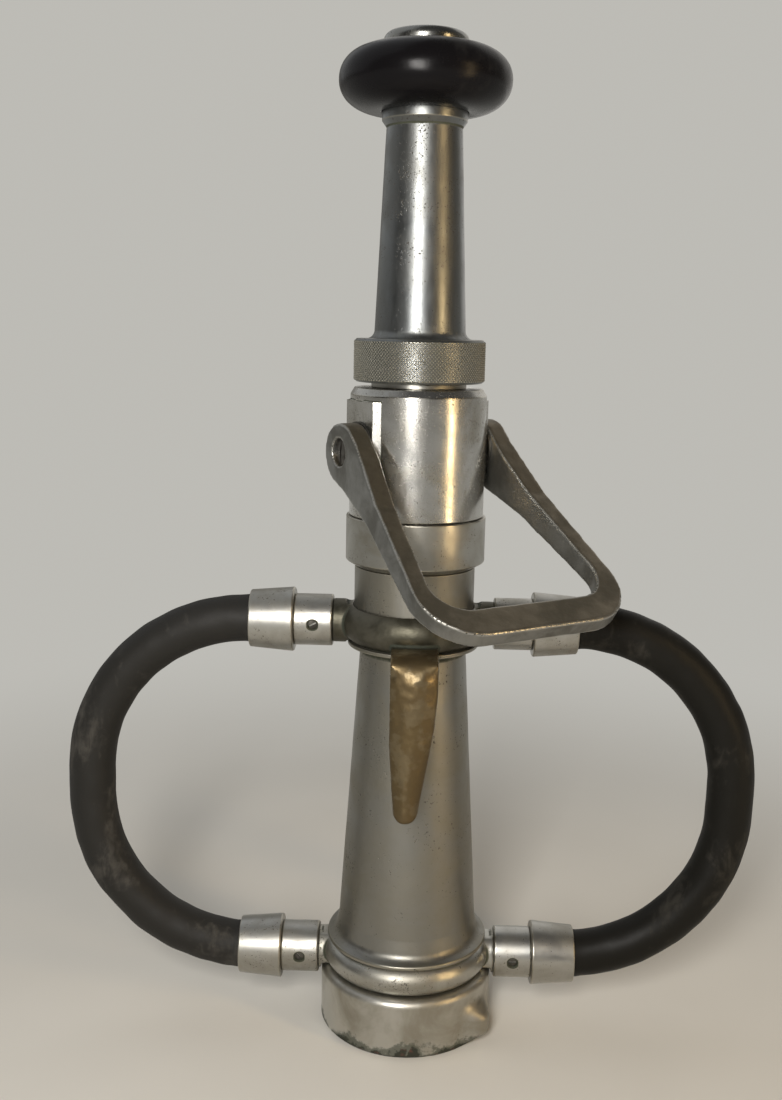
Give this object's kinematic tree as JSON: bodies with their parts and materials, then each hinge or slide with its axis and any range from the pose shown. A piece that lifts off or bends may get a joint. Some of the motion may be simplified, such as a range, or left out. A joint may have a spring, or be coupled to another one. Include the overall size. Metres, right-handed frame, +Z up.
{
  "type": "fire hose nozzle",
  "caption": "Fire hose playpipe with swivel coupling, tapered pipe, swivelling D-handle frame with hook, ball shutoff worked by a U-shaped bail, and a knurled barrel tip with rubber bumper.",
  "frame": {"origin": "centre of the hose coupling's bottom face", "axes": "+Z up the waterway towards the tip; X along the two D handles; -Y towards the hook"},
  "size_m": [0.3734, 0.164, 0.522],
  "materials": {
    "plated_brass": "worn nickel plate over brass, dulled and pitted",
    "worn_bronze": "rough cast bronze, plating worn through",
    "forged_bronze": "forged bronze with dull worn plate",
    "plain_brass": "turned brass",
    "steel": "oil-dark steel",
    "black_rubber": "moulded rubber, scuffed grey",
    "seal_rubber": "soft seal rubber"
  },
  "bodies": {
    "playpipe": {"playpipe_tube": "plated_brass", "swivel_balls": "steel", "valve_base": "plated_brass", "pipe_gasket": "seal_rubber", "lower_seat": "seal_rubber", "upper_seat": "seal_rubber", "valve_body": "plated_brass", "stem_bush_left": "plain_brass", "stem_bush_right": "plain_brass", "stem_seals": "seal_rubber", "tip_base": "plated_brass", "tip_gasket": "seal_rubber", "stream_tube": "plain_brass", "deflector": "plain_brass"},
    "hose_coupling": {"coupling": "plated_brass", "race_plug": "plated_brass", "hose_gasket": "seal_rubber"},
    "handle_frame": {"lower_ring": "plated_brass", "upper_ring": "worn_bronze", "sleeve_upper_left": "plated_brass", "sleeve_upper_right": "plated_brass", "sleeve_lower_left": "plated_brass", "sleeve_lower_right": "plated_brass", "ferrule_upper_left": "plated_brass", "ferrule_upper_right": "plated_brass", "ferrule_lower_left": "plated_brass", "ferrule_lower_right": "plated_brass", "set_screws": "steel", "core_rod_left": "steel", "core_rod_right": "steel", "grip_left": "black_rubber", "grip_right": "black_rubber"},
    "bail": {"bail_handle": "forged_bronze", "valve_ball": "plain_brass", "stem_left": "plain_brass", "stem_right": "plain_brass", "pivot_screw_left": "steel", "pivot_screw_right": "steel", "boss_washers": "plain_brass"},
    "tip_seal": {"barrel_seal": "seal_rubber"},
    "tip_barrel": {"barrel": "plated_brass", "bumper": "black_rubber", "end_cap": "plated_brass"}
  },
  "joints": [
    {"name": "hose_swivel", "type": "hinge", "parent": "playpipe", "child": "hose_coupling", "pos_m": [0, 0, 0.0288], "axis": [0, 0, 1], "continuous": true},
    {"name": "handle_swivel", "type": "hinge", "parent": "playpipe", "child": "handle_frame", "pos_m": [0, 0, 0.1322], "axis": [0, 0, 1], "continuous": true},
    {"name": "bail_turn", "type": "hinge", "parent": "playpipe", "child": "bail", "pos_m": [0, 0, 0.3185], "axis": [-0.848, -0.5299, 0], "range_deg": [0, 90]},
    {"name": "barrel_travel", "type": "slide", "parent": "playpipe", "child": "tip_seal", "axis": [0, 0, 1], "range_m": [0, 0.00725]},
    {"name": "barrel_turn", "type": "hinge", "parent": "tip_seal", "child": "tip_barrel", "pos_m": [0, 0, 0.3637], "axis": [0, 0, 1], "range_deg": [0, 720]}
  ],
  "couplings": [
    {"joint": "barrel_travel", "follows": "barrel_turn", "m_per_rad": 0.00057296}
  ]
}
